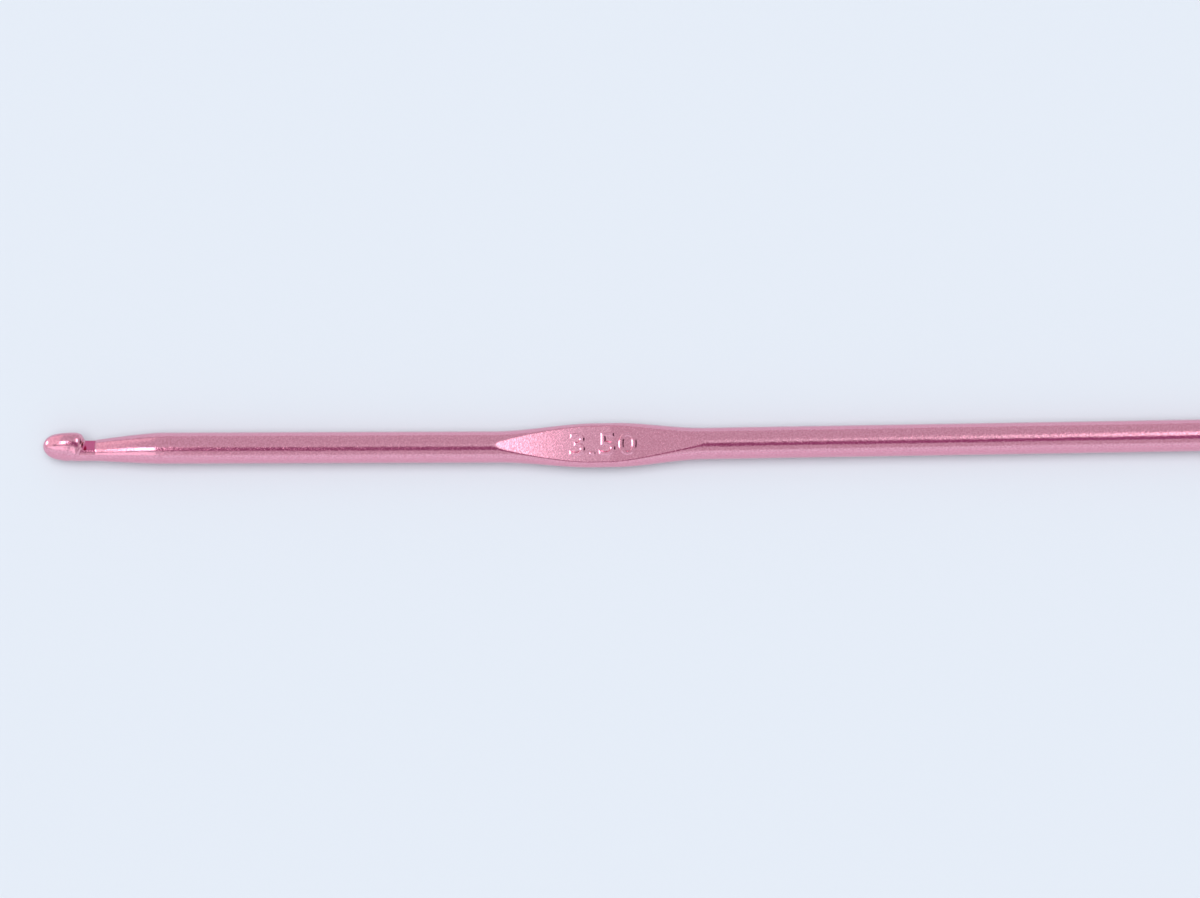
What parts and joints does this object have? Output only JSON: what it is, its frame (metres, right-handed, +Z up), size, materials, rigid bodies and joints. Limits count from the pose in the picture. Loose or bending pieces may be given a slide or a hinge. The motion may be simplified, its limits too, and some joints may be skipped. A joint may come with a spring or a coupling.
{
  "type": "crochet hook",
  "caption": "One-piece aluminium crochet hook with a notched head, slim neck, straight shank, flattened thumb rest with raised size digits, and a round handle with a domed end.",
  "frame": {"origin": "below the middle of the hook's length and width, on the surface that its shank rests on", "axes": "+X along the rod from the hooked head to the tail, +Z up out of the thumb rest's upper flat, which carries the raised digits"},
  "size_m": [0.15, 0.005, 0.0035],
  "materials": {
    "anodised_aluminium": "pink anodised, satin, with fine lengthwise draw marks"
  },
  "bodies": {
    "root": {"head": "anodised_aluminium", "shank": "anodised_aluminium", "thumb_rest": "anodised_aluminium", "handle": "anodised_aluminium"}
  },
  "joints": []
}
